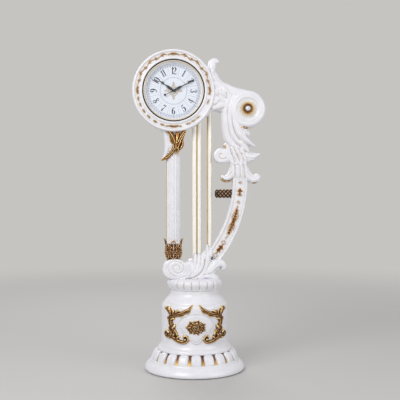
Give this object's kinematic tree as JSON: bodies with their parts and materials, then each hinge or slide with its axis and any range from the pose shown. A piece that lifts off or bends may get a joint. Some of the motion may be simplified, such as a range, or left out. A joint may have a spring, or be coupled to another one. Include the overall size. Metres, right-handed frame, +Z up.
{
  "type": "longcase clock",
  "caption": "Harp-shaped floor clock: round beaded base, fluted column, curved beam, leafy post and neck with a volute, upright rods, and a round drum with a domed dial.",
  "frame": {"origin": "middle of the felt disc that the clock stands on", "axes": "+Z up, +Y from the front to the back, +X to the right as the dial is read"},
  "size_m": [0.7552, 0.568, 1.7993],
  "materials": {
    "white_lacquer": "white satin lacquer on cast resin, with a tan wash in the hollows",
    "antique_gilding": "antique gold paint rubbed over dark brown",
    "pale_gilding": "pale champagne gold paint",
    "dark_bronze": "dark bronze paint with worn gold edges",
    "pearl": "pearly glaze",
    "green_felt": "thin felt",
    "fibreboard": "raw board",
    "cast_iron_weight": "rough grey iron",
    "zinc_steel": "zinc plated steel",
    "beech": "plain dowel",
    "white_board": "white painted board",
    "magnet_steel": "nickel plated block",
    "black_plastic": "black moulded plastic",
    "clear_glass": "clear domed glass",
    "dial_card": "white printed dial",
    "black_metal": "satin black paint",
    "brass": "plain turned brass",
    "battery_can": "plain wrapped cell",
    "spring_steel": "nickel plated sheet",
    "copper_wire": "enamelled copper winding",
    "green_board": "green circuit board",
    "white_nylon": "moulded nylon"
  },
  "bodies": {
    "clock_body": {"base_felt": "green_felt", "bottom_board": "fibreboard", "base_tray": "white_lacquer", "ballast_disc": "cast_iron_weight", "bead_moulding": "white_lacquer", "plinth_foot": "white_lacquer", "plinth_body": "white_lacquer", "plinth_cap": "white_lacquer", "gadroon_ring": "white_lacquer", "threaded_rods": "zinc_steel", "tie_nut_and_washer": "zinc_steel", "base_rosette": "antique_gilding", "base_scroll_left": "antique_gilding", "base_scroll_right": "antique_gilding", "harp_foot": "white_lacquer", "column_base": "antique_gilding", "column_shaft": "white_lacquer", "column_bracket": "white_lacquer", "bracket_leaf": "antique_gilding", "string_rods": "white_lacquer", "string_slats": "pale_gilding", "neck": "white_lacquer", "volute_flower": "antique_gilding", "volute_pearl": "pearl", "leaf_post": "white_lacquer", "sound_beam": "white_lacquer", "beam_mounts": "antique_gilding", "bronze_boss": "dark_bronze", "frame_dowels": "beech", "drum_ring": "white_lacquer", "drum_scrollwork": "antique_gilding", "drum_shell": "white_lacquer", "back_panel": "white_board", "door_hinge_pin": "zinc_steel", "door_magnet": "magnet_steel", "case_screws": "zinc_steel", "insert_ring": "black_plastic", "bezel": "dark_bronze", "dial_glass": "clear_glass", "dial_plate": "dial_card", "movement_case": "black_plastic", "movement_nut": "brass", "movement_cover": "black_plastic", "battery_contacts": "spring_steel", "motor_coil": "copper_wire", "motor_stator": "spring_steel", "circuit_board": "green_board"},
    "back_door": {"back_door": "white_board"},
    "battery": {"battery": "battery_can"},
    "seconds": {"seconds_wheel": "white_nylon", "second_hand": "black_metal"},
    "third": {"third_wheel": "white_nylon"},
    "minutes": {"centre_wheel": "white_nylon", "minute_hand": "black_metal"},
    "motion_work": {"minute_wheel": "white_nylon"},
    "hours": {"hour_wheel": "white_nylon", "hour_hand": "black_metal"},
    "stepping": {"stepping_wheel": "white_nylon"},
    "rotor": {"rotor": "white_nylon"},
    "setting_knob": {"setting_knob": "black_plastic"}
  },
  "joints": [
    {"name": "seconds_turn", "type": "hinge", "parent": "clock_body", "child": "seconds", "pos_m": [-0.11952, -0.0335, 1.567], "axis": [0, 1, 0], "continuous": true},
    {"name": "third_turn", "type": "hinge", "parent": "clock_body", "child": "third", "pos_m": [-0.13102, -0.0335, 1.567], "axis": [0, 1, 0], "continuous": true},
    {"name": "minutes_turn", "type": "hinge", "parent": "clock_body", "child": "minutes", "pos_m": [-0.11952, -0.0335, 1.567], "axis": [0, 1, 0], "continuous": true},
    {"name": "motion_turn", "type": "hinge", "parent": "clock_body", "child": "motion_work", "pos_m": [-0.11952, -0.0335, 1.575], "axis": [0, 1, 0], "continuous": true},
    {"name": "hours_turn", "type": "hinge", "parent": "clock_body", "child": "hours", "pos_m": [-0.11952, -0.0335, 1.567], "axis": [0, 1, 0], "continuous": true},
    {"name": "stepping_turn", "type": "hinge", "parent": "clock_body", "child": "stepping", "pos_m": [-0.10947, -0.0335, 1.5728], "axis": [0, 1, 0], "continuous": true},
    {"name": "rotor_turn", "type": "hinge", "parent": "clock_body", "child": "rotor", "pos_m": [-0.10185, -0.0335, 1.5684], "axis": [0, 1, 0], "continuous": true},
    {"name": "knob_turn", "type": "hinge", "parent": "clock_body", "child": "setting_knob", "pos_m": [-0.12641, -0.0335, 1.58079], "axis": [0, 1, 0], "continuous": true},
    {"name": "door_swing", "type": "hinge", "parent": "clock_body", "child": "back_door", "pos_m": [-0.19452, 0.0606, 1.567], "axis": [0, 0, 1], "range_deg": [0, 110]},
    {"name": "battery_slide", "type": "slide", "parent": "clock_body", "child": "battery", "axis": [0, 1, 0], "range_m": [0, 0.03]}
  ],
  "couplings": [
    {"joint": "third_turn", "follows": "seconds_turn", "ratio": -0.13333},
    {"joint": "minutes_turn", "follows": "seconds_turn", "ratio": 0.016667},
    {"joint": "motion_turn", "follows": "seconds_turn", "ratio": -0.0055556},
    {"joint": "hours_turn", "follows": "seconds_turn", "ratio": 0.0013889},
    {"joint": "stepping_turn", "follows": "seconds_turn", "ratio": -5},
    {"joint": "rotor_turn", "follows": "seconds_turn", "ratio": 30},
    {"joint": "knob_turn", "follows": "seconds_turn", "ratio": 0.011111}
  ]
}
